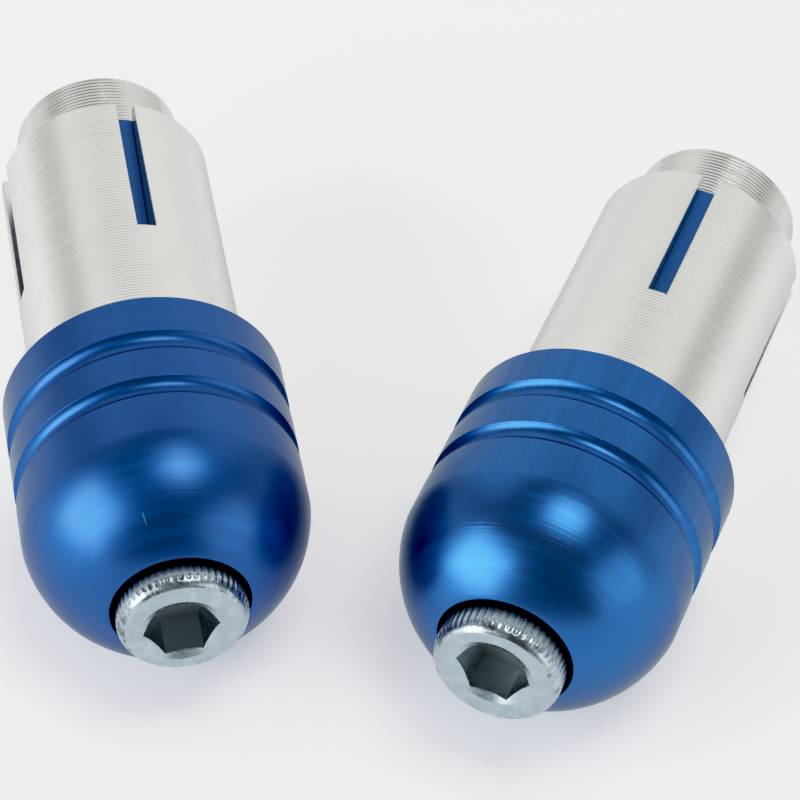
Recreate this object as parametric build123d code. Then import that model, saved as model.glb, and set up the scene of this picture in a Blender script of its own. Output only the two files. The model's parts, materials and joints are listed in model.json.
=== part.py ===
from build123d import *
import math
import os

# Pair of expanding handlebar end plugs (bar end grips).
#
# Each plug is five pieces: a domed end cap, a four-finger slotted sleeve, an
# expander cone inside the sleeve, a round end nut behind the cone and an M6
# socket screw that runs through all of them.  Both plugs lie on their collars on
# the ground plane z = 0, toed in towards each other.
#
# All lengths in millimetres.  Station s is measured along a plug's own axis from
# the collar's rear rim, positive towards the nose.

# ---------------------------------------------------------------- end cap
COLLAR_R = 11.0          # same as a 22.2 mm bar, flush with its outside
COLLAR_L = 13.87         # plain collar, up to the crease where the dome starts
RIM_CHAMFER = 0.08       # rear rim of the collar
GROOVES = ((3.62, 5.52), (8.46, 10.28))   # start and end stations
GROOVE_DEPTH = 0.58
GROOVE_FILLET = 0.95     # radius that each side of a groove curves down with
DOME_MID = (9.58, 17.92)  # radius, station of a point on the dome's arc
NOSE_R = 5.25            # counterbore radius, where the dome ends
NOSE_S = 21.77
NOSE_EDGE = 0.12         # broken edge at the counterbore's mouth
LEFT_SEAT_S = 17.80      # each screw head's seat
RIGHT_SEAT_S = 18.25
CAP_BORE_R = 3.20        # M6 clearance hole
SPIGOT_R = 6.18
SPIGOT_L = 7.00
REGISTER_R = 8.36        # shallow recess in the rear face that centres the sleeve
REGISTER_L = 0.50
REGISTER_MOUTH_R = 8.56  # its bevelled mouth, just wider than the sleeve

# ---------------------------------------------------------------- sleeve
SLEEVE_R = 8.52
SLEEVE_L = 25.49
SOCKET_R = 6.20          # sits on the cap's spigot
SOCKET_L = 7.50
LIP_R = 8.32             # front lip that sits in the cap's recess
FINGER_R = 8.50          # the fingers are turned down a hair behind the slot bottoms
FINGER_S = -11.00
TAPER_REF_S = -11.0      # station where the tapered bore is TAPER_REF_R
TAPER_REF_R = 6.62
TAPER = 0.85 / 14.0      # radius gained per mm towards the cone end
MOUTH_CHAMFER = 0.45     # inside edge of the mouth
SLEEVE_EDGE = 0.15       # outside edges of the sleeve
SLOT_W = 1.50
SLOT_BOTTOM_S = -10.9
SLOT_COUNT = 4

# ---------------------------------------------------------------- expander cone
CONE_TIP_S = -9.00
CONE_BACK_S = -24.85
CONE_GAP = 0.085         # radial gap to the sleeve's bore at rest
CONE_BORE_R = 3.20
CONE_EDGE = 0.12

# ---------------------------------------------------------------- end nut
NUT_R = 6.70
NUT_FRONT_S = -24.85
NUT_BACK_S = -31.01
NUT_EDGE_FRONT = 0.25
NUT_EDGE_BACK = 0.25
NUT_BORE_R = 3.00        # thread drawn as a plain bore

# ---------------------------------------------------------------- screw, M6 x 50
HEAD_R = 4.98
HEAD_H = 6.00
HEAD_PLAIN_R = 4.76      # plain band between the face and the knurl
HEAD_ROUND = 0.38        # rounded edge between the band and the face
KNURL_COUNT = 54
KNURL_DEPTH = 0.08
KNURL_TOP = 0.62         # knurl starts this far below the head's top
KNURL_RUN = 0.33         # and reaches full height this much further down
HEX_AF = 5.00
HEX_DEPTH = 3.65
HEX_CONE = 0.15          # the forged socket's floor dishes this much in its middle
CSK_R = 3.22             # countersink at the hexagon's mouth
CSK_ANGLE = 28.0         # its slope below the head's face
SHANK_R = 2.97           # thread drawn as a plain shank
SHANK_L = 50.0
TIP_CHAMFER = 0.60

# ---------------------------------------------------------------- layout
TOE_ANGLE = 15.5       # each plug's nose turns this far towards the other
# rear rim centres before the pair is centred on its footprint: (x, y)
LEFT_RIM = (-19.5057, -13.8049)
RIGHT_RIM = (16.2211, -14.7294)
LEFT_SLOT_ANGLE = 11.0   # first slot, from straight up towards +X side
RIGHT_SLOT_ANGLE = 2.0
LEFT_HEX_ANGLE = 23.5    # one corner of the hexagon, same sense
RIGHT_HEX_ANGLE = 33.5


def taper_r(s):
    return TAPER_REF_R + (TAPER_REF_S - s) * TAPER


def ring(points, arcs=None):
    """Revolve a closed (r, s) outline about the local Z axis.

    arcs maps the index of an edge's first point to the (r, s) point midway on
    its arc; every other edge is straight.
    """
    arcs = arcs or {}
    edges = []
    n = len(points)
    for i, p in enumerate(points):
        q = points[(i + 1) % n]
        a, b = (p[0], 0, p[1]), (q[0], 0, q[1])
        if i in arcs:
            m = arcs[i]
            edges.append(ThreePointArc(a, (m[0], 0, m[1]), b))
        else:
            edges.append(Line(a, b))
    wire = Wire([e.edge() if hasattr(e, "edge") else e for e in edges])
    return revolve(Face(wire), Axis.Z, 360)


def end_cap(seat):
    pts = [
        (CAP_BORE_R, -SPIGOT_L), (SPIGOT_R - 0.3, -SPIGOT_L),
        (SPIGOT_R, -SPIGOT_L + 0.3), (SPIGOT_R, REGISTER_L), (REGISTER_R, REGISTER_L),
        (REGISTER_R, REGISTER_MOUTH_R - REGISTER_R), (REGISTER_MOUTH_R, 0.0),
        (COLLAR_R - RIM_CHAMFER, 0.0), (COLLAR_R, RIM_CHAMFER),
    ]
    arcs = {}
    floor_r = COLLAR_R - GROOVE_DEPTH
    tilt = math.acos(1 - GROOVE_DEPTH / GROOVE_FILLET)      # at the groove's edges
    half_r = floor_r + GROOVE_FILLET * (1 - math.cos(tilt / 2))
    run, half_run = GROOVE_FILLET * math.sin(tilt), GROOVE_FILLET * math.sin(tilt / 2)
    for g0, g1 in GROOVES:
        pts.append((COLLAR_R, g0))
        arcs[len(pts) - 1] = (half_r, g0 + run - half_run)
        pts += [(floor_r, g0 + run), (floor_r, g1 - run)]
        arcs[len(pts) - 1] = (half_r, g1 - run + half_run)
        pts.append((COLLAR_R, g1))
    pts.append((COLLAR_R, COLLAR_L))
    arcs[len(pts) - 1] = DOME_MID
    pts += [
        (NOSE_R + NOSE_EDGE, NOSE_S), (NOSE_R, NOSE_S - NOSE_EDGE),
        (NOSE_R, seat), (CAP_BORE_R, seat),
    ]
    return ring(pts, arcs)


def sleeve(slot_angle):
    mouth = -SLEEVE_L
    mouth_r = taper_r(mouth + MOUTH_CHAMFER)
    body = ring([
        (SOCKET_R, REGISTER_L), (LIP_R - 0.1, REGISTER_L), (LIP_R, REGISTER_L - 0.1),
        (LIP_R, SLEEVE_R - LIP_R - SLEEVE_EDGE), (SLEEVE_R, -SLEEVE_EDGE),
        (SLEEVE_R, FINGER_S + SLEEVE_R - FINGER_R), (FINGER_R, FINGER_S),
        (FINGER_R, mouth + SLEEVE_EDGE), (FINGER_R - SLEEVE_EDGE, mouth),
        (mouth_r + MOUTH_CHAMFER, mouth), (mouth_r, mouth + MOUTH_CHAMFER),
        (taper_r(-SOCKET_L), -SOCKET_L), (SOCKET_R, -SOCKET_L),
    ])
    length = SLEEVE_L + SLOT_BOTTOM_S + 2.0
    for k in range(SLOT_COUNT):
        saw = Solid.make_box(2 * SLEEVE_R, SLOT_W, length)
        saw = saw.moved(Location((0, -SLOT_W / 2, SLOT_BOTTOM_S - length)))
        # a positive slot angle runs from local +X (up) towards local -Y
        body = body - saw.moved(Location((0, 0, 0), (0, 0, 1), -slot_angle + 90.0 * k))
    return body


def expander_cone():
    tip_r = taper_r(CONE_TIP_S) - CONE_GAP
    back_r = taper_r(CONE_BACK_S) - CONE_GAP
    return ring([
        (CONE_BORE_R, CONE_TIP_S), (tip_r - 0.3, CONE_TIP_S),
        (taper_r(CONE_TIP_S - 0.3) - CONE_GAP, CONE_TIP_S - 0.3),
        (taper_r(CONE_BACK_S + CONE_EDGE) - CONE_GAP, CONE_BACK_S + CONE_EDGE),
        (back_r - CONE_EDGE, CONE_BACK_S), (CONE_BORE_R, CONE_BACK_S),
    ])


def end_nut():
    return ring([
        (NUT_BORE_R + 0.4, NUT_FRONT_S), (NUT_R - NUT_EDGE_FRONT, NUT_FRONT_S),
        (NUT_R, NUT_FRONT_S - NUT_EDGE_FRONT), (NUT_R, NUT_BACK_S + NUT_EDGE_BACK),
        (NUT_R - NUT_EDGE_BACK, NUT_BACK_S), (NUT_BORE_R + 0.4, NUT_BACK_S),
        (NUT_BORE_R, NUT_BACK_S + 0.4), (NUT_BORE_R, NUT_FRONT_S - 0.4),
    ])


def socket_screw(hex_angle, seat):
    top = seat + HEAD_H
    # flat face, rounded edge and plain band
    k = HEAD_ROUND * math.sqrt(0.5)
    upper = ring(
        [(0, top - KNURL_TOP - 0.3), (HEAD_PLAIN_R, top - KNURL_TOP - 0.3),
         (HEAD_PLAIN_R, top - HEAD_ROUND), (HEAD_PLAIN_R - HEAD_ROUND, top), (0, top)],
        {2: (HEAD_PLAIN_R - HEAD_ROUND + k, top - HEAD_ROUND + k)},
    )
    # knurled lower head, bevelled at both ends of the knurl
    pts = []
    for i in range(KNURL_COUNT):
        a0 = 2 * math.pi * i / KNURL_COUNT
        for frac, rad in ((0.0, HEAD_R - KNURL_DEPTH), (0.30, HEAD_R - 0.01),
                          (0.50, HEAD_R), (0.70, HEAD_R - 0.01)):
            a = a0 + 2 * math.pi * frac / KNURL_COUNT
            pts.append((rad * math.cos(a), rad * math.sin(a)))
    outline = make_face(Polyline(*[(x, y, seat) for x, y in pts], close=True))
    lower = extrude(outline, amount=HEAD_H - KNURL_TOP, dir=(0, 0, 1))
    start_r = HEAD_PLAIN_R + 0.02
    bevel = KNURL_RUN / (HEAD_R - start_r) * (HEAD_R + 0.1 - start_r)
    limits = ring([(0, seat), (HEAD_R - 0.25, seat), (HEAD_R + 0.1, seat + 0.35),
                   (HEAD_R + 0.1, top - KNURL_TOP - bevel), (start_r, top - KNURL_TOP),
                   (0, top - KNURL_TOP)])
    lower = lower & limits
    shank = ring([
        (0, seat - SHANK_L), (SHANK_R - TIP_CHAMFER, seat - SHANK_L),
        (SHANK_R, seat - SHANK_L + TIP_CHAMFER), (SHANK_R, seat + 0.5),
        (0, seat + 0.5),
    ])
    solid = upper + lower + shank
    hexagon = extrude(
        Plane((0, 0, top - HEX_DEPTH)) * RegularPolygon(HEX_AF / 2, 6, major_radius=False),
        amount=HEX_DEPTH + 0.5,
    )
    # first corner of the hexagon lies at hex_angle
    corner = max(hexagon.vertices(), key=lambda v: round(v.X, 6)).center()
    first = math.degrees(math.atan2(corner.Y, corner.X))
    hexagon = hexagon.moved(Location((0, 0, 0), (0, 0, 1), -hex_angle - first))
    dish = ring([(0, top - HEX_DEPTH - HEX_CONE), (HEX_AF / 2 - 0.05, top - HEX_DEPTH),
                 (HEX_AF / 2 - 0.05, top - HEX_DEPTH + 0.2), (0, top - HEX_DEPTH + 0.2)])
    slope = math.tan(math.radians(CSK_ANGLE))
    low = 1.2                                   # stops well inside the hexagon
    csk = ring([(0, top - slope * (CSK_R - low)), (low, top - slope * (CSK_R - low)),
                (CSK_R, top), (CSK_R, top + 0.5), (0, top + 0.5)])
    return solid - hexagon - dish - csk


def plug(side, rim, heading, slot_angle, hex_angle, seat, shift):
    """Build the five pieces of one plug in the pair's frame."""
    h = math.radians(heading)
    axis = (math.sin(h), -math.cos(h), 0.0)          # towards the nose
    place = Plane(origin=(rim[0] - shift[0], rim[1] - shift[1], COLLAR_R),
                  x_dir=(0, 0, 1), z_dir=axis).location
    made = {
        "end_cap": end_cap(seat),
        "slotted_sleeve": sleeve(slot_angle),
        "expander_cone": expander_cone(),
        "end_nut": end_nut(),
        "socket_screw": socket_screw(hex_angle, seat),
    }
    out = {}
    for name, shape in made.items():
        solids = shape.solids()
        assert len(solids) == 1, (side, name, len(solids))
        out[side + "_" + name] = solids[0].moved(place)
    return out


def footprint():
    """Extent of both plugs in X and Y, from the circles that bound them."""
    circles = [(0.0 + RIM_CHAMFER, COLLAR_R), (COLLAR_L, COLLAR_R), (0.0, COLLAR_R - RIM_CHAMFER),
               (NUT_BACK_S, NUT_R - NUT_EDGE_BACK), (NUT_BACK_S + NUT_EDGE_BACK, NUT_R),
               (-SLEEVE_L + SLEEVE_EDGE, SLEEVE_R),
               (LEFT_SEAT_S - SHANK_L, SHANK_R - TIP_CHAMFER)]
    xs, ys = [], []
    for rim, heading, seat in ((LEFT_RIM, TOE_ANGLE, LEFT_SEAT_S),
                               (RIGHT_RIM, -TOE_ANGLE, RIGHT_SEAT_S)):
        h = math.radians(heading)
        ax, ay = math.sin(h), -math.cos(h)
        for s, r in circles:
            xs += [rim[0] + s * ax - r * abs(ay), rim[0] + s * ax + r * abs(ay)]
            ys += [rim[1] + s * ay - r * abs(ax), rim[1] + s * ay + r * abs(ax)]
        # foremost point of the head's rounded edge
        ys.append(rim[1] + (seat + HEAD_H - HEAD_ROUND) * ay
                  - (HEAD_PLAIN_R - HEAD_ROUND) * abs(ax) - HEAD_ROUND)
    return min(xs), max(xs), min(ys), max(ys)


def main():
    x0, x1, y0, y1 = footprint()
    shift = ((x0 + x1) / 2, (y0 + y1) / 2)
    nodes = {}
    nodes.update(plug("left", LEFT_RIM, TOE_ANGLE, LEFT_SLOT_ANGLE, LEFT_HEX_ANGLE,
                      LEFT_SEAT_S, shift))
    nodes.update(plug("right", RIGHT_RIM, -TOE_ANGLE, RIGHT_SLOT_ANGLE, RIGHT_HEX_ANGLE,
                      RIGHT_SEAT_S, shift))
    os.makedirs("parts", exist_ok=True)
    for name, solid in nodes.items():
        solid.label = name
        export_step(solid, "parts/" + name + ".step")
    print("footprint", x0, x1, y0, y1, "shift", shift)
    for name, solid in nodes.items():
        b = solid.bounding_box()
        print(name, round(solid.volume, 2), [round(v, 3) for v in (*b.min, *b.max)])


main()
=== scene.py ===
"""Looks of a pair of expanding handlebar end plugs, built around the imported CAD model.

Each piece is a mesh in its plug's own frame: local Z runs along the plug's axis
towards the nose with its zero at the collar's rear rim, and local X points up.
Outlines are in millimetres as (radius, station) and turn into metres in make().
"""

import json
import math

import bpy
import numpy as np
from mathutils import Matrix, Vector


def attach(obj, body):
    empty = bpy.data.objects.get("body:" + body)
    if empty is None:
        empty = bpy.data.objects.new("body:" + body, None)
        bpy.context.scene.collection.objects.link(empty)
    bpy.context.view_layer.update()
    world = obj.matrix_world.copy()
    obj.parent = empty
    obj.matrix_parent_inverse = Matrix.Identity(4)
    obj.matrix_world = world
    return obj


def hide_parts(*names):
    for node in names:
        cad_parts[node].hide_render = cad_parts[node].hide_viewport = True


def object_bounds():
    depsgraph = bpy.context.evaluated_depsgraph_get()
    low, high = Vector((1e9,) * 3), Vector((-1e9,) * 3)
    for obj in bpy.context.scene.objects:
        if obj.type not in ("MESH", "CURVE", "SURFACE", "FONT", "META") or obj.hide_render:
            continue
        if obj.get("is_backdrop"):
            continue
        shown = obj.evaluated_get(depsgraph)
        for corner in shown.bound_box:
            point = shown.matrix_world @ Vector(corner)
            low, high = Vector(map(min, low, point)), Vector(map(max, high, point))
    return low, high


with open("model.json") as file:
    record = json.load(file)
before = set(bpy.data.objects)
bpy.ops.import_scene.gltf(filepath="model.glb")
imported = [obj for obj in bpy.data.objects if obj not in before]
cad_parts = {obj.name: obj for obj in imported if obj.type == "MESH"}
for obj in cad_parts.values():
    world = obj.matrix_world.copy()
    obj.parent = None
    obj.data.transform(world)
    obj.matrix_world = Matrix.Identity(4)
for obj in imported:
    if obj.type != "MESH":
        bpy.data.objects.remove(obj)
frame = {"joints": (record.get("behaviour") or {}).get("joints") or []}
CAD_LO, CAD_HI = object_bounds()
MM = 0.001

# ------------------------------------------------------------------ dimensions, as the CAD has them
COLLAR_R, COLLAR_L = 11.0, 13.87
GROOVES = ((3.62, 5.52), (8.46, 10.28))
GROOVE_DEPTH, GROOVE_FILLET = 0.58, 0.95
DOME_MID = (9.58, 17.92)
NOSE_R, NOSE_S = 5.25, 21.77
SEAT = {"left": 17.80, "right": 18.25}
CAP_BORE_R, SPIGOT_R, SPIGOT_L = 3.20, 6.18, 7.0
REGISTER_R, REGISTER_L, REGISTER_MOUTH_R = 8.36, 0.50, 8.56
SLEEVE_R, SLEEVE_L, SOCKET_R, SOCKET_L, LIP_R = 8.52, 25.49, 6.20, 7.50, 8.32
MOUTH_CHAMFER, SLOT_W, SLOT_BOTTOM_S = 0.45, 1.50, -10.9
CONE_TIP_S, CONE_BACK_S, CONE_GAP, CONE_BORE_R = -9.0, -24.85, 0.085, 3.20
NUT_R, NUT_FRONT_S, NUT_BACK_S = 6.70, -24.85, -31.01
HEAD_R, HEAD_H, HEAD_PLAIN_R, HEAD_ROUND = 4.98, 6.0, 4.76, 0.38
KNURL_COUNT, KNURL_DEPTH, KNURL_TOP, KNURL_RUN = 54, 0.08, 0.62, 0.33
HEX_AF, HEX_DEPTH, HEX_CONE, CSK_R, CSK_ANGLE = 5.0, 3.65, 0.15, 3.22, 28.0
SHANK_R, SHANK_L = 2.97, 50.0
SLOT_ANGLE = {"left": 11.0, "right": 2.0}
HEX_ANGLE = {"left": 23.5, "right": 33.5}
PITCH = 1.0                      # M6 coarse thread


def taper_r(s):
    return 6.62 + (-11.0 - s) * 0.85 / 14.0


# ------------------------------------------------------------------ where each plug is
JOINTS = {j["name"]: j for j in frame["joints"]}
PLACE = {}
for side in ("left", "right"):
    joint = JOINTS[side + "_screw_turn"]
    origin = Vector(joint["pos_m"])
    nose = -Vector(joint["axis"]).normalized()
    up = Vector((0.0, 0.0, 1.0))
    across = nose.cross(up)
    PLACE[side] = Matrix((
        (up.x, across.x, nose.x, origin.x),
        (up.y, across.y, nose.y, origin.y),
        (up.z, across.z, nose.z, origin.z),
        (0.0, 0.0, 0.0, 1.0),
    ))


# ------------------------------------------------------------------ outlines
def outline(corners, support=0.05, closed=True):
    """Corners are (r, s) or (r, s, fillet). Returns the points with round corners and support points beside them."""
    pts = [np.array(c[:2], float) for c in corners]
    fil = [c[2] if len(c) > 2 else 0.0 for c in corners]
    n = len(pts)
    runs = []
    for i in range(n):
        if fil[i] == 0 or (not closed and i in (0, n - 1)):
            runs.append([pts[i]])
            continue
        d0 = pts[i - 1] - pts[i]
        d1 = pts[(i + 1) % n] - pts[i]
        d0, d1 = d0 / np.linalg.norm(d0), d1 / np.linalg.norm(d1)
        inner = math.acos(max(-1.0, min(1.0, float(d0 @ d1))))
        t = fil[i] / math.tan(inner / 2)
        bis = (d0 + d1) / np.linalg.norm(d0 + d1)
        centre = pts[i] + bis * fil[i] / math.sin(inner / 2)
        v0, v1 = pts[i] + d0 * t - centre, pts[i] + d1 * t - centre
        a0, a1 = math.atan2(v0[1], v0[0]), math.atan2(v1[1], v1[0])
        turn = (a1 - a0 + math.pi) % (2 * math.pi) - math.pi
        k = max(2, math.ceil(abs(turn) / math.radians(18)))
        runs.append([centre + fil[i] * np.array((math.cos(a0 + turn * q / k), math.sin(a0 + turn * q / k)))
                     for q in range(k + 1)])
    out = []
    for i in range(n):
        out += runs[i]
        if i == n - 1 and not closed:
            break
        a, b = runs[i][-1], runs[(i + 1) % n][0]
        length = float(np.linalg.norm(b - a))
        if length > 4 * support:
            if fil[i]:
                out.append(a + (b - a) * support / length)
            if fil[(i + 1) % n]:
                out.append(b + (a - b) * support / length)
    return [(float(p[0]), float(p[1])) for p in out]


def arc_points(p0, mid, p1, count):
    """Points on the arc through three points, both ends included."""
    (x0, y0), (x1, y1), (x2, y2) = p0, mid, p1
    d = 2 * (x0 * (y1 - y2) + x1 * (y2 - y0) + x2 * (y0 - y1))
    ux = ((x0 ** 2 + y0 ** 2) * (y1 - y2) + (x1 ** 2 + y1 ** 2) * (y2 - y0) + (x2 ** 2 + y2 ** 2) * (y0 - y1)) / d
    uy = ((x0 ** 2 + y0 ** 2) * (x2 - x1) + (x1 ** 2 + y1 ** 2) * (x0 - x2) + (x2 ** 2 + y2 ** 2) * (x1 - x0)) / d
    rad = math.hypot(x0 - ux, y0 - uy)
    a0, am, a1 = (math.atan2(y - uy, x - ux) for x, y in (p0, mid, p1))
    turn = (a1 - a0 + math.pi) % (2 * math.pi) - math.pi
    return [(ux + rad * math.cos(a0 + turn * i / count), uy + rad * math.sin(a0 + turn * i / count))
            for i in range(count + 1)], (ux, uy, rad)


DOME, DOME_CIRCLE = arc_points((COLLAR_R, COLLAR_L), DOME_MID, (NOSE_R + 0.12, NOSE_S), 56)


def turned(r, s0, s1, pitch, depth, per=4):
    """A turned wall from s0 to s1 at radius r: shallow scallops whose crests are at r."""
    rings = max(1, round(abs(s1 - s0) / pitch))
    out = []
    for i in range(rings):
        for q in range(per):
            u = q / per
            out.append((r - depth * 4 * u * (1 - u), s0 + (s1 - s0) * (i + u) / rings))
    out.append((r, s1))
    return out


# ------------------------------------------------------------------ meshes
def weld(verts, faces):
    """Joins vertices in one place and drops faces that collapse."""
    keys = np.round(np.asarray(verts) * 1e5).astype(np.int64)
    _, first, inverse = np.unique(keys, axis=0, return_index=True, return_inverse=True)
    inverse = np.asarray(inverse).ravel()
    kept = []
    for f in faces:
        g = []
        for v in f:
            w = int(inverse[v])
            if w not in g:
                g.append(w)
        if len(g) > 2:
            kept.append(g)
    return np.asarray(verts)[first], kept


def polar(r, s, phi):
    return np.stack([r * np.cos(phi), r * np.sin(phi), s + 0 * r], axis=-1)


def ring_mesh(points, columns, closed=True):
    """Revolves an outline of (r, s) points."""
    phi = np.arange(columns) * 2 * math.pi / columns
    r = np.array([p[0] for p in points])[:, None] + 0 * phi
    s = np.array([p[1] for p in points])[:, None] + 0 * phi
    return grid_mesh(r, s, phi, closed)


def grid_mesh(r, s, phi, closed):
    rows, cols = r.shape
    verts = polar(r, s, phi[None, :]).reshape(-1, 3)
    last = rows if closed else rows - 1
    i = np.arange(last)[:, None]
    j = np.arange(cols)[None, :]
    i2, j2 = (i + 1) % rows, (j + 1) % cols
    faces = np.stack([i * cols + j, i * cols + j2, i2 * cols + j2, i2 * cols + j], axis=-1).reshape(-1, 4)
    return verts, faces.tolist()


def thread_mesh(radius, s0, s1, columns, per):
    """A right-handed helical wall from station s0 to s1. radius(s, u) gives the radius at share u of the pitch.
    Rows follow the helix, and rows past an end lie in that end's plane."""
    phi = np.arange(columns) * 2 * math.pi / columns
    marks = np.asarray(per)
    n = len(marks)
    turns = int(math.ceil((s1 - s0) / PITCH)) + 2
    t = np.concatenate([marks + k for k in range(-1, turns)])
    u = np.tile(marks, turns + 1)
    raw = s0 + PITCH * (t[:, None] + phi[None, :] / (2 * math.pi))
    s = np.clip(raw, s0, s1)
    share = ((s - s0) / PITCH - phi[None, :] / (2 * math.pi)) % 1.0
    inside = np.abs(s - raw) < 1e-9
    share = np.where(inside, u[:, None] + 0 * phi, share)
    r = radius(s, share)
    verts = polar(r, s, phi[None, :]).reshape(-1, 3)
    rows = len(t)
    faces = []
    for i in range(rows - 1):
        for j in range(columns - 1):
            faces.append((i * columns + j, i * columns + j + 1, (i + 1) * columns + j + 1, (i + 1) * columns + j))
        if i + 1 + n < rows:
            faces.append((i * columns + columns - 1, (i + n) * columns, (i + 1 + n) * columns,
                          (i + 1) * columns + columns - 1))
    end = [radius(np.full(columns, e), ((e - s0) / PITCH - phi / (2 * math.pi)) % 1.0) for e in (s0, s1)]
    return verts, faces, end


def join(*parts):
    verts, faces, base = [], [], 0
    for v, f in parts:
        verts.append(np.asarray(v, float))
        faces += [[x + base for x in g] for g in f]
        base += len(v)
    return weld(np.concatenate(verts), faces)


def make(side, node, body, material, verts, faces, sharp=33.0):
    name = side + "_" + node
    mesh = bpy.data.meshes.new(name + "_mesh")
    mesh.from_pydata((np.asarray(verts) * MM).tolist(), [], faces)
    mesh.validate()
    # outward normals: the signed volume of the closed surface has to be positive
    mesh.calc_loop_triangles()
    tri = np.zeros(len(mesh.loop_triangles) * 3, np.int32)
    mesh.loop_triangles.foreach_get("vertices", tri)
    co = np.zeros(len(mesh.vertices) * 3, np.float32)
    mesh.vertices.foreach_get("co", co)
    p = co.reshape(-1, 3).astype(float)[tri.reshape(-1, 3)]
    if float(np.einsum("ij,ij->i", p[:, 0], np.cross(p[:, 1], p[:, 2])).sum()) < 0:
        mesh.flip_normals()
    mesh.polygons.foreach_set("use_smooth", np.ones(len(mesh.polygons), bool))
    mesh.set_sharp_from_angle(angle=math.radians(sharp))
    mesh.update()
    obj = bpy.data.objects.new(name + "_look", mesh)
    bpy.context.scene.collection.objects.link(obj)
    obj.matrix_world = PLACE[side]
    obj.data.materials.append(material)
    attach(obj, body)
    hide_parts(name)
    return obj


def groove_points(g0, g1):
    floor_r = COLLAR_R - GROOVE_DEPTH
    tilt = math.acos(1 - GROOVE_DEPTH / GROOVE_FILLET)
    run = GROOVE_FILLET * math.sin(tilt)
    down = [(floor_r + GROOVE_FILLET * (1 - math.cos(tilt * (1 - q / 8))),
             g0 + run - GROOVE_FILLET * math.sin(tilt * (1 - q / 8))) for q in range(9)]
    rise = [(r, g0 + g1 - s) for r, s in reversed(down)]
    return down[1:], rise[:-1]


def end_cap(side, material):
    seat = SEAT[side]
    pts = [
        (CAP_BORE_R, -SPIGOT_L, 0.15), (SPIGOT_R, -SPIGOT_L, 0.25), (SPIGOT_R, REGISTER_L),
        (REGISTER_R, REGISTER_L), (REGISTER_R, REGISTER_MOUTH_R - REGISTER_R), (REGISTER_MOUTH_R, 0.0, 0.02),
        (COLLAR_R, 0.0, 0.09),
    ]
    for g0, g1 in GROOVES:
        down, rise = groove_points(g0, g1)
        pts.append((COLLAR_R, g0, 0.05))
        pts += [(r, s) for r, s in down] + [(r, s) for r, s in rise]
        pts.append((COLLAR_R, g1, 0.05))
    pts.append((COLLAR_R, COLLAR_L - 0.08))
    pts += [(r, s) for r, s in DOME[1:-1]]
    pts += [(NOSE_R + 0.06, NOSE_S, 0.07), (NOSE_R, NOSE_S - 0.25), (NOSE_R, seat + 0.15, 0.1),
            (NOSE_R - 0.1, seat, 0.05), (CAP_BORE_R, seat, 0.1)]
    verts, faces = ring_mesh(outline(pts), 288)
    return make(side, "end_cap", "plugs", material, verts, faces)


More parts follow.
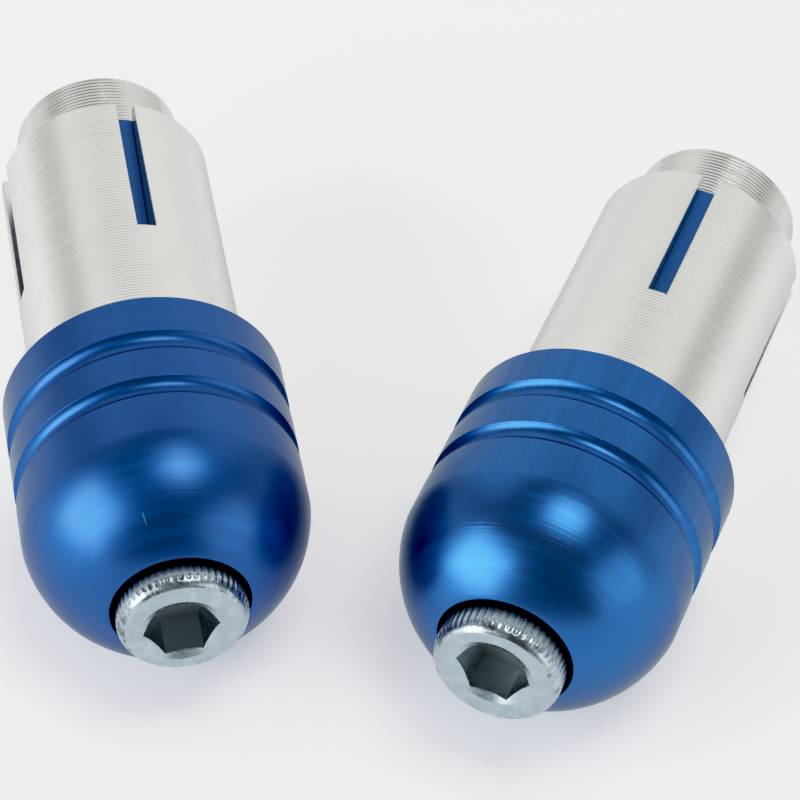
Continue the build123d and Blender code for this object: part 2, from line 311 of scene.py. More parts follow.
def slotted_sleeve(side, material):
    """Four fingers with sawn gaps. Columns near a gap keep its walls flat and parallel at every radius."""
    edge = 0.07                                # broken edge along the gaps
    half = SLOT_W / 2
    pitch, depth = 0.306, 0.022
    bottom = SLOT_BOTTOM_S
    mouth = -SLEEVE_L
    # outer wall, front to back; the last row before the gaps is where their bottom edge starts
    front = outline([(LIP_R - 0.1, REGISTER_L), (LIP_R, REGISTER_L - 0.1), (LIP_R, 0.05), (SLEEVE_R, -0.15)],
                    closed=False)
    upper = front + turned(SLEEVE_R, -0.20, bottom + edge, pitch, depth)
    lower_o = turned(SLEEVE_R - 0.01, bottom, mouth + 0.16, pitch, depth)
    mouth_r = taper_r(mouth + MOUTH_CHAMFER)
    tail_o = [(SLEEVE_R - 0.01 - 0.11 * (1 - math.cos(q)), mouth + 0.11 - 0.11 * math.sin(q))
              for q in np.radians([0, 30, 60, 90])]
    tail_i = [(mouth_r + MOUTH_CHAMFER, mouth), (mouth_r + 0.06, mouth + MOUTH_CHAMFER - 0.06),
              (mouth_r, mouth + MOUTH_CHAMFER), (taper_r(mouth + MOUTH_CHAMFER + 0.05), mouth + MOUTH_CHAMFER + 0.05)]
    lower_o += tail_o
    count = len(lower_o)
    inner_s = np.linspace(bottom, mouth + MOUTH_CHAMFER + 0.08, count - len(tail_i))
    lower_i = [(taper_r(s), float(s)) for s in inner_s] + list(reversed(tail_i))
    upper_i = [(taper_r(s), s) for s in (bottom + edge, bottom + 0.4, -9.5, -8.5)]
    upper_i += [(taper_r(-SOCKET_L), -SOCKET_L), (SOCKET_R, -SOCKET_L), (SOCKET_R, REGISTER_L)]

    fingers, across = 34, 4
    share = np.concatenate([[0, 0.012], np.linspace(0.035, 0.965, fingers - 3), [0.988, 1.0]])

    def angles(r):
        """Column angles at radius r over one quarter: across the gap, then along the finger."""
        e = math.asin((half + edge) / r)
        h = math.asin(half / r)
        gap = np.concatenate([[-e], np.arcsin(np.linspace(-half, half, across + 1) / r)])
        return np.concatenate([gap, e + (math.pi / 2 - 2 * e) * share[:-1]]), h, e

    per = across + 2 + len(share) - 1
    cols = 4 * per
    turn0 = -math.radians(SLOT_ANGLE[side])
    verts, faces, index = [], [], {}

    def row(tag, r, s):
        base, _, _ = angles(r)
        phi = np.concatenate([base + k * math.pi / 2 for k in range(4)]) + turn0
        index[tag] = len(verts)
        verts.extend(polar(np.full(cols, r), np.full(cols, s), phi).tolist())

    def strip(a, b, keep=lambda c: True):
        ia, ib = index[a], index[b]
        for c in range(cols):
            if keep(c % per):
                d = (c + 1) % cols
                faces.append((ia + c, ia + d, ib + d, ib + c))

    on_finger = lambda c: c > across + 1 or c == across + 1      # noqa: E731
    for i, (r, s) in enumerate(upper):
        row(("uo", i), r, s)
    for i, (r, s) in enumerate(upper_i):
        row(("ui", i), r, s)
    for i, (r, s) in enumerate(lower_o):
        row(("lo", i), r, s)
    for i, (r, s) in enumerate(lower_i):
        row(("li", i), r, s)
    for i in range(len(upper) - 1):
        strip(("uo", i), ("uo", i + 1))
    for i in range(len(upper_i) - 1):
        strip(("ui", i + 1), ("ui", i))
    strip(("ui", len(upper_i) - 1), ("uo", 0))                   # front face
    finger = lambda c: c >= across + 2 or c == across + 2        # noqa: E731
    # columns: 0 is one broken edge, 1..across+1 cross the gap, across+2.. run along the finger
    strip(("uo", len(upper) - 1), ("lo", 0), finger)
    strip(("li", 0), ("ui", 0), finger)
    for i in range(count - 1):
        strip(("lo", i), ("lo", i + 1), finger)
        strip(("li", i + 1), ("li", i), finger)
    strip(("lo", count - 1), ("li", count - 1), finger)          # mouth face

    # walls and bottoms of the gaps
    def wall_vertex(r, s, y, k):
        phi = math.asin(y / r) + k * math.pi / 2 + turn0
        verts.append([r * math.cos(phi), r * math.sin(phi), s])
        return len(verts) - 1

    for k in range(4):
        for sign in (-1, 1):
            # column of the broken edge on this side of the gap: the finger's last column, or its first
            col = (k * per) if sign < 0 else (k * per + across + 2)
            wo, wi = [], []
            for i in range(count):
                ro, so = lower_o[i]
                ri, si = lower_i[i]
                wo.append(wall_vertex(ro - edge, so, sign * half, k))
                wi.append(wall_vertex(ri + edge, si, sign * half, k))
            for i in range(count - 1):
                o0, o1 = index[("lo", i)] + col, index[("lo", i + 1)] + col
                n0, n1 = index[("li", i)] + col, index[("li", i + 1)] + col
                quads = [(o0, o1, wo[i + 1], wo[i]), (wo[i], wo[i + 1], wi[i + 1], wi[i]), (wi[i], wi[i + 1], n1, n0)]
                faces.extend(q if sign < 0 else q[::-1] for q in quads)
            end = (index[("lo", count - 1)] + col, index[("li", count - 1)] + col, wi[-1], wo[-1])
            faces.append(end if sign < 0 else end[::-1])
            if sign < 0:
                left_o, left_i = wo[0], wi[0]
            else:
                right_o, right_i = wo[0], wi[0]
        # bottom of the gap
        ro, ri = lower_o[0][0], lower_i[0][0]
        ys = np.linspace(-half, half, across + 1)
        bo = [left_o] + [wall_vertex(ro - edge, bottom, float(y), k) for y in ys[1:-1]] + [right_o]
        bi = [left_i] + [wall_vertex(ri + edge, bottom, float(y), k) for y in ys[1:-1]] + [right_i]
        top_o, top_i = index[("uo", len(upper) - 1)] + k * per, index[("ui", 0)] + k * per
        for c in range(across):
            faces.append((top_o + 1 + c, top_o + 2 + c, bo[c + 1], bo[c]))
            faces.append((bo[c], bo[c + 1], bi[c + 1], bi[c]))
            faces.append((bi[c], bi[c + 1], top_i + 2 + c, top_i + 1 + c))
        # the corners where wall, bottom and outer or inner face meet
        lo0, li0 = index[("lo", 0)] + k * per, index[("li", 0)] + k * per
        a = across + 2
        faces.append((top_o, top_o + 1, bo[0], lo0))
        faces.append((top_o + a - 1, top_o + a, lo0 + a, bo[-1]))
        faces.append((li0, bi[0], top_i + 1, top_i))
        faces.append((bi[-1], li0 + a, top_i + a, top_i + a - 1))
    used = sorted({v for f in faces for v in f})
    renum = {v: i for i, v in enumerate(used)}
    verts = np.array([verts[v] for v in used])
    faces = [[renum[v] for v in f] for f in faces]
    return make(side, "slotted_sleeve", "plugs", material, verts, faces)


def expander_cone(side, material):
    tip_r, back_r = taper_r(CONE_TIP_S) - CONE_GAP, taper_r(CONE_BACK_S) - CONE_GAP
    pts = [(CONE_BORE_R, CONE_TIP_S, 0.1), (tip_r, CONE_TIP_S, 0.25)]
    pts += [(taper_r(s) - CONE_GAP, s) for s in (-10.0, -14.0, -18.0, -22.0)]
    pts += [(back_r, CONE_BACK_S, 0.10), (CONE_BORE_R, CONE_BACK_S, 0.1)]
    verts, faces = ring_mesh(outline(pts), 240)
    return make(side, "expander_cone", side + "_expander", material, verts, faces)


def thread_depth(u):
    """How far below the crest an ISO thread is at share u of its pitch, from 0 to 1."""
    d = np.abs(((u + 0.5) % 1.0) - 0.5)              # distance from the crest's middle
    return np.clip((d - 0.0625) / (0.5 - 0.0625 - 0.125), 0, 1)


THREAD_MARKS = (0.0, 0.0625, 0.22, 0.375, 0.5, 0.625, 0.78, 0.9375)


def end_nut(side, material):
    cols = 216
    depth = 0.56

    def bore(s, u):
        ends = np.minimum(s - NUT_BACK_S, NUT_FRONT_S - s)
        r = 3.03 - depth * thread_depth(u)
        return np.maximum(r, 3.10 - ends)

    # the thread starts a whole number of turns from the screw's tip, so the two stay in step
    lead = (NUT_BACK_S + 0.02 - (SEAT[side] - SHANK_L)) % PITCH

    def wall(s, u):
        return bore(s, (u + lead) % 1.0)

    s0, s1 = NUT_BACK_S + 0.02, NUT_FRONT_S - 0.02
    tv, tf, (r0, r1) = thread_mesh(wall, s0, s1, cols, np.array(sorted((m - lead) % 1.0 for m in THREAD_MARKS)))
    phi = np.arange(cols) * 2 * math.pi / cols
    out = [(3.30, NUT_BACK_S), (NUT_R - 0.95, NUT_BACK_S), (NUT_R - 0.23, NUT_BACK_S, 0.06), (NUT_R, NUT_BACK_S + 0.23, 0.08)]
    outer = outline(out, closed=False)[:-1]
    wallpts = turned(NUT_R, NUT_BACK_S + 0.36, NUT_FRONT_S - 0.22, 0.366, 0.044)
    front = outline([(NUT_R, NUT_FRONT_S - 0.18), (NUT_R, NUT_FRONT_S, 0.14), (4.5, NUT_FRONT_S), (3.30, NUT_FRONT_S)],
                    closed=False)
    pts = outer + [(NUT_R, NUT_BACK_S + 0.31)] + wallpts + front
    r = np.array([p[0] for p in pts])[:, None] + 0 * phi
    s = np.array([p[1] for p in pts])[:, None] + 0 * phi
    r = np.concatenate([r0[None, :], r, r1[None, :]])
    s = np.concatenate([np.full((1, cols), s0), s, np.full((1, cols), s1)])
    body = grid_mesh(r, s, phi, False)
    verts, faces = join((tv, tf), body)
    return make(side, "end_nut", side + "_expander", material, verts, faces)


# radius of the head's shoulder at a depth below the face
SHOULDER_DOWN = (0.0, 0.05, 0.12, 0.22, 0.35, 0.50, 0.62, 0.75, 0.95, 1.15)
SHOULDER_R = (4.33, 4.43, 4.54, 4.645, 4.745, 4.83, 4.88, 4.93, 4.975, 4.98)
# the forged socket is a little off the head's centre: up and across, in mm
SOCKET_OFF = {"left": (-0.34, 0.18), "right": (0.20, 0.13)}


def socket_screw(side, material):
    cols = KNURL_COUNT * 6
    seat = SEAT[side]
    top = seat + HEAD_H
    tip = seat - SHANK_L
    # column 0 is a corner of the hexagon
    turn0 = -math.radians(HEX_ANGLE[side])
    phi = np.arange(cols) * 2 * math.pi / cols
    thread_end = tip + 24.0

    def wall(s, u):
        r = 2.96 - 0.56 * thread_depth(u)
        fade = np.clip((s - (thread_end - 1.2)) / 1.2, 0, 1)
        r = r * (1 - fade) + SHANK_R * fade
        return np.minimum(r, 2.36 + (s - tip))

    # the helix is built with column 0 at angle 0 in the plug's frame, so the columns' own turn shifts its phase
    lead = (-turn0 / (2 * math.pi)) % 1.0

    def wall_here(s, u):
        return wall(s, (u + lead) % 1.0)

    marks = np.array(sorted((m - lead) % 1.0 for m in THREAD_MARKS))
    tv, tf, (r0, r1) = thread_mesh(wall_here, tip, thread_end, cols, marks)

    ribs = phi * KNURL_COUNT / (2 * math.pi) % 1.0
    rib = KNURL_DEPTH * (0.5 + 0.5 * np.cos(2 * math.pi * ribs)) ** 1.2      # 0 on a rib's crest
    # distance in angle from the middle of the nearest flat; corners are at phi = 0, 60, ...
    hexr = (HEX_AF / 2) / np.cos((phi % (math.pi / 3)) - math.pi / 6)

    rows_r, rows_s = [], []

    def add(r, s):
        rows_r.append(np.asarray(r, float) + 0 * phi)
        rows_s.append(np.asarray(s, float) + 0 * phi)

    add(r1, thread_end)
    for s in (thread_end + 0.3, seat - 0.30):
        add(SHANK_R, s)
    for q in (0, 30, 60, 90):
        a = math.radians(q)
        add(SHANK_R + 0.2 * (1 - math.cos(a)), seat - 0.2 + 0.2 * math.sin(a))
    add(4.55, seat)
    add(4.72, seat)
    add(4.80, seat + 0.06)
    # knurled wall, then the shoulder, which the knurl runs out on
    add(4.90 - 0.6 * rib, seat + 0.22)
    for s in (seat + 0.4, seat + 2.0, top - 1.4):
        add(HEAD_R - rib, s)
    for down in (1.15, 0.98, 0.88, 0.78, 0.70, 0.62, 0.55, 0.48, 0.42, 0.36, 0.30, 0.24, 0.18, 0.12, 0.07, 0.03, 0.0):
        f = min(1.0, max(0.0, (down - 0.36) / 0.30))
        add(np.interp(down, SHOULDER_DOWN, SHOULDER_R) - rib * f * f * (3 - 2 * f), top - down)
    # flat rim, then the countersink, which meets the hexagon's flats lower than its corners
    for r in (4.27, 4.2, 3.8, CSK_R + 0.06):
        add(r, top)
    slope = math.tan(math.radians(CSK_ANGLE))
    add(CSK_R + 0.015, top - 0.002)
    add(CSK_R - 0.025, top - 0.016)
    start_r, start_s = CSK_R - 0.025, top - 0.016
    for f in (0.15, 0.5, 0.85, 1.0):
        rr = start_r + (hexr + 0.02 - start_r) * f
        add(rr, start_s - (start_r - rr) * slope)
    lip = start_s - (start_r - hexr) * slope
    add(hexr - 0.005, lip - 0.025)
    add(hexr - 0.01, lip - 0.08)
    for f in (0.35, 0.7, 0.96, 1.0):
        add(hexr - 0.01, (lip - 0.08) * (1 - f) + (top - HEX_DEPTH) * f)
    for f in (0.04, 0.3, 0.6, 0.9, 0.98):
        add((hexr - 0.01) * (1 - f), top - HEX_DEPTH - HEX_CONE * f)
    r = np.array(rows_r)
    s = np.array(rows_s)
    head = grid_mesh(r, s, phi, False)
    # closing fans: the drill point and the screw's end
    rows = len(rows_r)
    hv, hf = head
    hv = np.concatenate([hv, [[0, 0, top - HEX_DEPTH - HEX_CONE]]])
    last = (rows - 1) * cols
    hf = hf + [[last + j, last + (j + 1) % cols, len(hv) - 1] for j in range(cols)]
    tiprows_r = np.array([r0, np.full(cols, 2.28), np.full(cols, 1.2), np.full(cols, 0.3)])
    tiprows_s = np.array([np.full(cols, tip), np.full(cols, tip), np.full(cols, tip + 0.02), np.full(cols, tip + 0.03)])
    ev, ef = grid_mesh(tiprows_r, tiprows_s, phi, False)
    ev = np.concatenate([ev, [[0, 0, tip + 0.03]]])
    ef = [f[::-1] for f in ef] + [[3 * cols + (j + 1) % cols, 3 * cols + j, len(ev) - 1] for j in range(cols)]
    verts, faces = join((tv, tf), (hv, hf), (ev, ef))
    c, sn = math.cos(turn0), math.sin(turn0)
    x, y = verts[:, 0].copy(), verts[:, 1].copy()
    verts[:, 0], verts[:, 1] = x * c - y * sn, x * sn + y * c
    inner = np.clip((4.2 - np.hypot(x, y)) / 0.6, 0, 1) * (verts[:, 2] > top - HEX_DEPTH - 0.4)
    verts[:, 0] += inner * SOCKET_OFF[side][0]
    verts[:, 1] += inner * SOCKET_OFF[side][1]
    return make(side, "socket_screw", side + "_screw", material, verts, faces, sharp=28.0)


# ------------------------------------------------------------------ materials
class Graph:
    def __init__(self, name):
        self.mat = bpy.data.materials.new(name)
        self.mat.use_nodes = True
        self.t = self.mat.node_tree
        self.t.nodes.clear()
        out = self.t.nodes.new("ShaderNodeOutputMaterial")
        self.bsdf = self.t.nodes.new("ShaderNodeBsdfPrincipled")
        self.t.links.new(self.bsdf.outputs["BSDF"], out.inputs["Surface"])

    def put(self, socket, value):
        if isinstance(value, bpy.types.NodeSocket):
            self.t.links.new(value, socket)
        else:
            socket.default_value = value

    def node(self, kind, ins=None, **props):
        n = self.t.nodes.new("ShaderNode" + kind)
        for k, v in props.items():
            setattr(n, k, v)
        for k, v in (ins or {}).items():
            self.put(n.inputs[k], v)
        return n

    def math(self, op, a, b=None, clamp=False):
        n = self.node("Math", operation=op, use_clamp=clamp)
        self.put(n.inputs[0], a)
        if b is not None:
            self.put(n.inputs[1], b)
        return n.outputs[0]

    def ramp(self, value, stops):
        n = self.node("ValToRGB", {"Fac": value})
        e = n.color_ramp.elements
        while len(e) > 1:
            e.remove(e[-1])
        e[0].position = stops[0][0]
        e[0].color = stops[0][1]
        for pos, col in stops[1:]:
            e.new(pos).color = col
        return n.outputs["Color"]

    def mapped(self, value, a, b, c, d, smooth=False):
        n = self.node("MapRange", {"Value": value, "From Min": a, "From Max": b, "To Min": c, "To Max": d})
        n.interpolation_type = "SMOOTHSTEP" if smooth else "LINEAR"
        return n.outputs["Result"]

    def mix(self, fac, a, b):
        n = self.node("Mix", data_type="RGBA")
        self.put(n.inputs[0], fac)
        self.put(n.inputs[6], a)
        self.put(n.inputs[7], b)
        return n.outputs[2]

    def noise1(self, w, scale, detail=2.0, rough=0.5):
        return self.node("TexNoise", {"W": w, "Scale": scale, "Detail": detail, "Roughness": rough},
                         noise_dimensions="1D").outputs["Fac"]

    def noise3(self, vec, scale, detail=2.0, rough=0.5):
        return self.node("TexNoise", {"Vector": vec, "Scale": scale, "Detail": detail, "Roughness": rough},
                         noise_dimensions="3D").outputs["Fac"]

    def coords(self):
        """Object coordinates in millimetres: x, y, z and the distance from the axis."""
        tc = self.node("TexCoord")
        sc = self.node("VectorMath", {0: tc.outputs["Object"]}, operation="SCALE")
        sc.inputs["Scale"].default_value = 1000.0
        sep = self.node("SeparateXYZ", {0: sc.outputs[0]})
        x, y, z = sep.outputs
        rr = self.math("SQRT", self.math("ADD", self.math("MULTIPLY", x, x), self.math("MULTIPLY", y, y)))
        return sc.outputs[0], x, y, z, rr

    def vector(self, x, y, z):
        n = self.node("CombineXYZ")
        for i, v in enumerate((x, y, z)):
            self.put(n.inputs[i], v)
        return n.outputs[0]


def rgb(r, g, b):
    """sRGB 0-255 to a linear colour."""
    lin = [(c / 255 / 12.92) if c / 255 <= 0.04045 else ((c / 255 + 0.055) / 1.055) ** 2.4 for c in (r, g, b)]
    return (*lin, 1.0)


def set_principled(g, **values):
    for k, v in values.items():
        g.put(g.bsdf.inputs[k.replace("_", " ")], v)


def blue_material(name, seed, streaks, colour, rough=(0.33, 0.41), scratch=None, dome_gloss=0.0):
    g = Graph(name)
    vec, x, y, z, rr = g.coords()
    cx, cy, rad = DOME_CIRCLE
    theta = g.math("ARCTAN2", g.math("SUBTRACT", z, cy), g.math("SUBTRACT", rr, cx))
    on_dome = g.math("GREATER_THAN", z, COLLAR_L)
    arc = g.math("MULTIPLY", theta, rad)
    along = g.math("ADD", g.math("MULTIPLY", arc, on_dome),
                   g.math("MULTIPLY", z, g.math("SUBTRACT", 1.0, on_dome)))
    w = g.math("ADD", along, seed)
    fine = g.noise1(w, 5.5, 3.0, 0.6)
    broad = g.noise1(w, 1.1, 2.0, 0.5)
    ux, uy = g.math("DIVIDE", x, rr), g.math("DIVIDE", y, rr)
    streak = g.noise3(g.vector(g.math("MULTIPLY", ux, 26.0), g.math("MULTIPLY", uy, 26.0),
                               g.math("MULTIPLY", z, 0.16)), 1.0, 3.0, 0.6)
    blotch = g.noise3(vec, 0.16, 3.0, 0.55)
    shade = g.math("ADD", g.math("MULTIPLY", g.math("SUBTRACT", blotch, 0.5), 0.35),
                   g.math("MULTIPLY", g.math("SUBTRACT", streak, 0.5),
                          g.mapped(z, COLLAR_L - 0.8, COLLAR_L + 1.2, streaks, 0.12, True)))
    shade = g.math("ADD", shade, g.math("MULTIPLY", g.math("SUBTRACT", fine, 0.5), 0.20))
    tone = g.math("ADD", shade, 0.5, clamp=True)
    base = g.ramp(tone, [(0.0, (*[c * 0.72 for c in colour], 1)), (0.5, (*colour, 1)),
                         (1.0, (*[c * 1.3 for c in colour], 1))])
    # painted shade: a dark line at the turned corner on the nose side of each groove, where the near edge hides the
    # groove's wall
    for g0, g1 in GROOVES:
        groove_edge_shade = g.math("LESS_THAN", g.math("ABSOLUTE", g.math("SUBTRACT", z, g1 - 0.02)), 0.06)
        base = g.mix(g.math("MULTIPLY", groove_edge_shade, 0.55), base, (colour[0] * 0.2, colour[1] * 0.2, colour[2] * 0.2, 1.0))
    # a few dust specks
    vor = g.node("TexVoronoi", {"Vector": vec, "Scale": 0.32, "Randomness": 1.0}, feature="F1")
    speck = g.math("LESS_THAN", vor.outputs["Distance"], 0.018)
    base = g.mix(g.math("MULTIPLY", speck, 0.45), base, rgb(170, 190, 205))
    if scratch:
        # one short scratch along the axis: its angle, station, half length and half width
        phi0, s0, half_s, half_w = scratch
        off = g.math("MULTIPLY", g.math("SUBTRACT", g.math("ARCTAN2", y, x), math.radians(phi0)), rr)
        mark = g.math("MULTIPLY", g.math("LESS_THAN", g.math("ABSOLUTE", off), half_w),
                      g.math("LESS_THAN", g.math("ABSOLUTE", g.math("SUBTRACT", z, s0)), half_s))
        base = g.mix(g.math("MULTIPLY", mark, 0.45), base, rgb(150, 190, 225))
    g.put(g.bsdf.inputs["Base Color"], base)
    set_principled(g, Metallic=1.0, Anisotropic=0.35, IOR=1.5)
    g.bsdf.inputs["Specular Tint"].default_value = (0.30, 0.37, 0.34, 1.0)
    g.put(g.bsdf.inputs["Roughness"], g.math("SUBTRACT", g.mapped(broad, 0.3, 0.7, *rough),
                                             g.math("MULTIPLY", on_dome, dome_gloss)))
    g.bsdf.inputs["Coat Weight"].default_value = 0.7
    g.bsdf.inputs["Coat Roughness"].default_value = 0.30
    g.bsdf.inputs["Coat IOR"].default_value = 1.5
    tangent = g.node("Tangent", direction_type="RADIAL", axis="Z")
    g.put(g.bsdf.inputs["Tangent"], tangent.outputs[0])
    height = g.math("ADD", g.math("MULTIPLY", fine, 1.0), g.math("MULTIPLY", g.noise3(vec, 9.0, 2.0, 0.6), 0.25))
    bump = g.node("Bump", {"Height": height})
    bump.inputs["Strength"].default_value = 0.50
    bump.inputs["Distance"].default_value = 0.00002
    g.put(g.bsdf.inputs["Normal"], bump.outputs[0])
    return g.mat


def aluminium_material(name, seed, level=1.0, gloss=0.0):
    g = Graph(name)
    vec, x, y, z, rr = g.coords()
    w = g.math("ADD", z, seed)
    fine = g.noise1(w, 9.0, 3.0, 0.6)
    band = g.noise1(w, 1.6, 3.0, 0.6)
    cloud = g.noise3(vec, 0.22, 3.0, 0.55)
    tone = g.math("ADD", g.math("MULTIPLY", g.math("SUBTRACT", cloud, 0.5), 0.7),
                  g.math("MULTIPLY", g.math("SUBTRACT", band, 0.5), 0.5))
    tone = g.math("ADD", tone, 0.5, clamp=True)
    base = g.ramp(tone, [(0.0, (0.74 * level, 0.74 * level, 0.71 * level, 1)),
                         (1.0, (0.88 * level, 0.88 * level, 0.84 * level, 1))])
    vor = g.node("TexVoronoi", {"Vector": vec, "Scale": 0.42, "Randomness": 1.0}, feature="F1")
    pit = g.math("LESS_THAN", vor.outputs["Distance"], 0.030)
    base = g.mix(g.math("MULTIPLY", pit, 0.5), base, rgb(120, 118, 112))
    g.put(g.bsdf.inputs["Base Color"], base)
    set_principled(g, Metallic=1.0, Anisotropic=0.6, Anisotropic_Rotation=0.25)
    g.bsdf.inputs["Specular Tint"].default_value = (0.72, 0.72, 0.73, 1.0)
    g.put(g.bsdf.inputs["Roughness"], g.mapped(band, 0.3, 0.7, 0.21 - gloss, 0.28 - gloss))
    tangent = g.node("Tangent", direction_type="RADIAL", axis="Z")
    g.put(g.bsdf.inputs["Tangent"], tangent.outputs[0])
    height = g.math("ADD", fine, g.math("MULTIPLY", g.noise3(vec, 12.0, 2.0, 0.6), 0.2))
    bump = g.node("Bump", {"Height": height})
    bump.inputs["Strength"].default_value = 0.35
    bump.inputs["Distance"].default_value = 0.00002
    g.put(g.bsdf.inputs["Normal"], bump.outputs[0])
    return g.mat


def zinc_material(name, seed, seat):
    g = Graph(name)
    vec, x, y, z, rr = g.coords()
    top = seat + HEAD_H
    blotch = g.noise3(g.vector(x, y, g.math("ADD", z, seed)), 0.9, 3.0, 0.6)
    fine = g.noise3(g.vector(x, y, g.math("ADD", z, seed)), 5.0, 3.0, 0.6)
    tone = g.math("ADD", g.math("MULTIPLY", blotch, 0.7), g.math("MULTIPLY", fine, 0.3))
    base = g.ramp(tone, [(0.25, rgb(152, 167, 176)), (0.5, rgb(164, 179, 187)), (0.75, rgb(186, 198, 205))])
    # the socket's inside has no bright plating
    socket = g.math("MULTIPLY", g.math("LESS_THAN", rr, 3.3), g.math("LESS_THAN", z, top - 0.45))
    socket = g.math("MULTIPLY", socket, g.math("GREATER_THAN", z, seat))
    base = g.mix(g.math("MULTIPLY", socket, 0.9), base, rgb(172, 181, 184))
    floor = g.math("MULTIPLY", socket, g.math("LESS_THAN", z, top - HEX_DEPTH + 0.03))
    # dark blotches in a band on the shoulder, and painted shade down the knurl into the counterbore
    outside = g.math("GREATER_THAN", rr, 4.42)
    band = g.math("MULTIPLY", g.mapped(z, top - 0.95, top - 0.60, 0.0, 1.0, True), outside)
    spots = g.mapped(g.noise3(g.vector(x, y, seed), 0.95, 3.0, 0.65), 0.50, 0.62, 0.0, 0.70)
    base = g.mix(g.math("MULTIPLY", band, spots), base, rgb(70, 76, 78))
    # painted shade: the knurl's ribs darken towards the counterbore, where they fall into shadow
    down = g.math("MULTIPLY", g.mapped(z, NOSE_S + 0.25, NOSE_S + 1.05, 0.85, 0.0, True), g.math("GREATER_THAN", rr, 4.6))
    base = g.mix(down, base, rgb(24, 30, 38))
    g.put(g.bsdf.inputs["Base Color"], base)
    set_principled(g, Metallic=1.0)
    g.put(g.bsdf.inputs["Roughness"], g.math("SUBTRACT", g.mapped(fine, 0.3, 0.7, 0.20, 0.32), g.math("SUBTRACT", g.math("MULTIPLY", socket, 0.04), g.math("MULTIPLY", floor, 0.32))))
    height = g.math("ADD", fine, g.math("MULTIPLY", blotch, 1.5))
    bump = g.node("Bump", {"Height": height})
    g.put(bump.inputs["Strength"], g.math("ADD", g.math("MULTIPLY", outside, 0.30), 0.04))
    bump.inputs["Distance"].default_value = 0.00004
    g.put(g.bsdf.inputs["Normal"], bump.outputs[0])
    return g.mat


SCRATCH = (18.0, 19.75, 0.36, 0.04)
for side, seed, streaks, colour, rough, scratch in (
        ("left", 3.1, 0.25, (0.003, 0.088, 0.30), (0.33, 0.41), SCRATCH),
        ("right", 41.7, 1.20, (0.006, 0.108, 0.335), (0.29, 0.36), None)):
    blue = blue_material("blue_cap_" + side, seed, streaks, colour, rough, scratch, 0.03 if side == "right" else 0.0)
    blue_cone = blue_material("blue_cone_" + side, seed + 9.0, 0.05, colour)
    alu = aluminium_material("aluminium_" + side, seed, 0.99 if side == "left" else 0.96)
    zinc = zinc_material("zinc_" + side, seed, SEAT[side])
    end_cap(side, blue)
    slotted_sleeve(side, alu)
    expander_cone(side, blue_cone)
    end_nut(side, aluminium_material("aluminium_nut_" + side, seed + 5.0, 0.86, 0.05))
    socket_screw(side, zinc)

# ------------------------------------------------------------------ floor, light, camera
lo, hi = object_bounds()
floor_mesh = bpy.data.meshes.new("floor_mesh")
floor_mesh.from_pydata([(-3, -3, 0), (3, -3, 0), (3, 3, 0), (-3, 3, 0)], [], [(0, 1, 2, 3)])
floor = bpy.data.objects.new("floor", floor_mesh)
floor.location.z = lo.z - 0.00002
bpy.context.scene.collection.objects.link(floor)
g = Graph("floor_paper")
vec, x, y, z, rr = g.coords()
g.put(g.bsdf.inputs["Base Color"], g.ramp(g.noise3(vec, 0.02, 2.0, 0.5), [(0.3, (0.84, 0.84, 0.84, 1)), (0.7, (0.86, 0.86, 0.86, 1))]))
g.bsdf.inputs["Roughness"].default_value = 1.0
g.bsdf.inputs["Specular IOR Level"].default_value = 0.0
g.bsdf.inputs["Emission Color"].default_value = (1.0, 1.0, 1.0, 1.0)
g.bsdf.inputs["Emission Strength"].default_value = 0.32
floor.data.materials.append(g.mat)
floor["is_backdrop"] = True

world = bpy.data.worlds.new("studio")
bpy.context.scene.world = world
world.use_nodes = True
wt = world.node_tree
bg = wt.nodes["Background"] if "Background" in wt.nodes else wt.nodes.new("ShaderNodeBackground")


def world_math(op, a, b=None, clamp=False):
    n = wt.nodes.new("ShaderNodeMath")
    n.operation, n.use_clamp = op, clamp
    for i, v in enumerate((a, b)):
        if isinstance(v, bpy.types.NodeSocket):
            wt.links.new(v, n.inputs[i])
        elif v is not None:
            n.inputs[i].default_value = v
    return n.outputs[0]


def world_step(value, a, b):
    n = wt.nodes.new("ShaderNodeMapRange")
    n.interpolation_type = "SMOOTHSTEP"
    wt.links.new(value, n.inputs["Value"])
    n.inputs["From Min"].default_value, n.inputs["From Max"].default_value = a, b
    return n.outputs["Result"]


# a dim room with a white backdrop behind the pair, up to about 50 degrees above the floor
FRONT, BACK = 0.25, 0.95
tc = wt.nodes.new("ShaderNodeTexCoord")
sep = wt.nodes.new("ShaderNodeSeparateXYZ")
wt.links.new(tc.outputs["Generated"], sep.inputs[0])
behind = world_step(sep.outputs[1], -0.05, 0.45)
low = world_math("SUBTRACT", 1.0, world_step(sep.outputs[2], 0.74, 0.90))
share = world_math("MULTIPLY", behind, low)
# the backdrop ends to each side, and the side walls beyond it are light again
aside = world_math("ABSOLUTE", sep.outputs[0])
ends = world_math("SUBTRACT", 1.0, world_math("MULTIPLY", world_step(aside, 0.60, 0.80), 0.55))
share = world_math("MULTIPLY", share, ends)
walls = world_math("MULTIPLY", world_step(aside, 0.84, 0.96), 0.45)
level = world_math("ADD", world_math("MULTIPLY", share, BACK - FRONT), FRONT)
wt.links.new(world_math("ADD", level, walls), bg.inputs["Strength"])
bg.inputs["Color"].default_value = (1.0, 1.0, 1.0, 1.0)

AIM = Vector((0.0, -0.004, 0.011))


def softbox(name, direction, distance, width, height, power, colour=(1, 1, 1)):
    light = bpy.data.lights.new(name, "AREA")
    light.shape = "RECTANGLE"
    light.size, light.size_y = width, height
    light.energy = power
    light.color = colour
    obj = bpy.data.objects.new(name, light)
    d = Vector(direction).normalized()
    obj.location = AIM + d * distance
    obj.rotation_mode = "QUATERNION"
    obj.rotation_quaternion = d.to_track_quat("Z", "Y")
    bpy.context.scene.collection.objects.link(obj)
    return obj


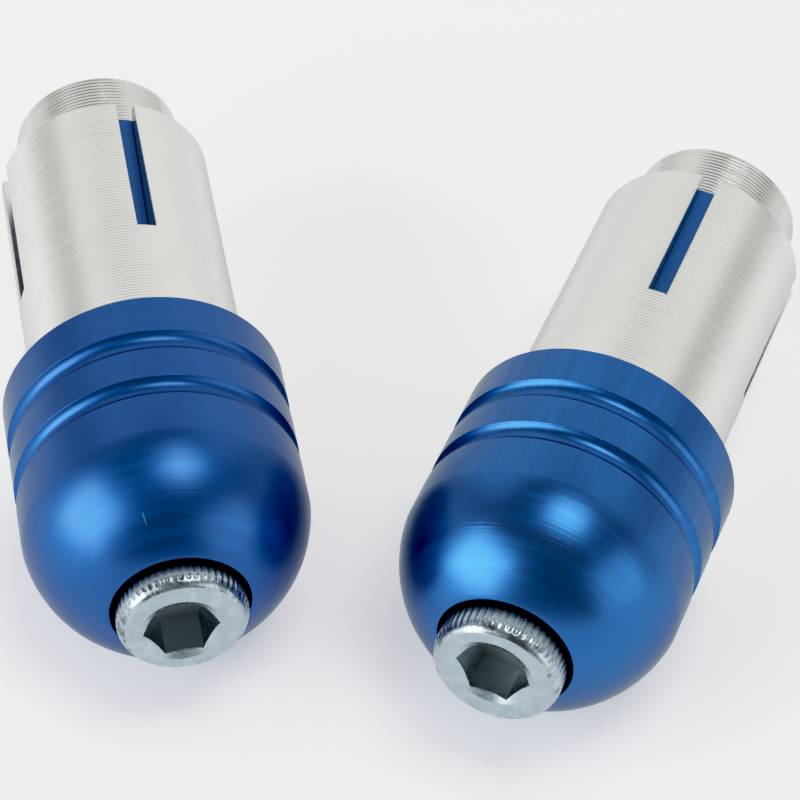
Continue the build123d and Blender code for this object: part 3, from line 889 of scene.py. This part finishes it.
def toward(azimuth, elevation):
    """Direction from the pair: azimuth 0 is -Y and 90 is +X."""
    a, e = math.radians(azimuth), math.radians(elevation)
    return (math.sin(a) * math.cos(e), -math.cos(a) * math.cos(e), math.sin(e))


def box_of(name, azimuth, elevation, wide, tall, radiance):
    """A softbox that many degrees wide and tall as the pair sees it, and that bright."""
    w, h = (2 * 0.8 * math.tan(math.radians(x) / 2) for x in (wide, tall))
    return softbox(name, toward(azimuth, elevation), 0.8, w, h, radiance * math.pi * w * h)


box_of("overhead", 70, 78, 24, 24, 4.6)
box_of("left_front", -58, 19, 42, 40, 4.2)
box_of("right_front", 60, 18, 38, 34, 1.35)

camera = bpy.data.cameras.new("camera")
camera.sensor_width = 36.0
camera.lens = 160.7132
camera.clip_start, camera.clip_end = 0.01, 20.0
cam = bpy.data.objects.new("camera", camera)
az, el, roll = math.radians(1.89128), math.radians(45.238872), math.radians(-4.859683)
fwd = Vector((-math.sin(az) * math.cos(el), math.cos(az) * math.cos(el), -math.sin(el)))
right = Vector((math.cos(az), math.sin(az), 0.0))
down = fwd.cross(right)
r2 = math.cos(roll) * right + math.sin(roll) * down
d2 = -math.sin(roll) * right + math.cos(roll) * down
centre = Vector(((CAD_LO.x + CAD_HI.x) / 2, (CAD_LO.y + CAD_HI.y) / 2, CAD_LO.z))
eye = centre + Vector((0.0085167, -0.1974686, 0.2100384))
cam.matrix_world = Matrix((
    (r2.x, -d2.x, -fwd.x, eye.x),
    (r2.y, -d2.y, -fwd.y, eye.y),
    (r2.z, -d2.z, -fwd.z, eye.z),
    (0, 0, 0, 1),
))
bpy.context.scene.collection.objects.link(cam)
bpy.context.scene.camera = cam
bpy.context.scene.view_settings.view_transform = "Standard"
bpy.context.scene.view_settings.look = "None"
# a camera's response: shadows start a little late and highlights roll off
settings = bpy.context.scene.view_settings
settings.use_curve_mapping = True
curve = settings.curve_mapping
BLACK, WHITE = 0.012, 2.2
curve.black_level = (BLACK,) * 3
curve.white_level = (WHITE,) * 3
curve.extend = "HORIZONTAL"
points = curve.curves[3].points
RESPONSE = ((0.06, 0.043), (0.1, 0.086), (0.2, 0.203), (0.3, 0.315), (0.4, 0.418), (0.5, 0.515), (0.6, 0.604),
            (0.8, 0.742), (1.0, 0.845), (1.3, 0.935), (1.6, 0.98), (2.0, 1.0))
for x, y in RESPONSE:
    points.new((x - BLACK) / (WHITE - BLACK), y)
for q in points:
    q.handle_type = "VECTOR"
curve.update()

lo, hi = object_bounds()
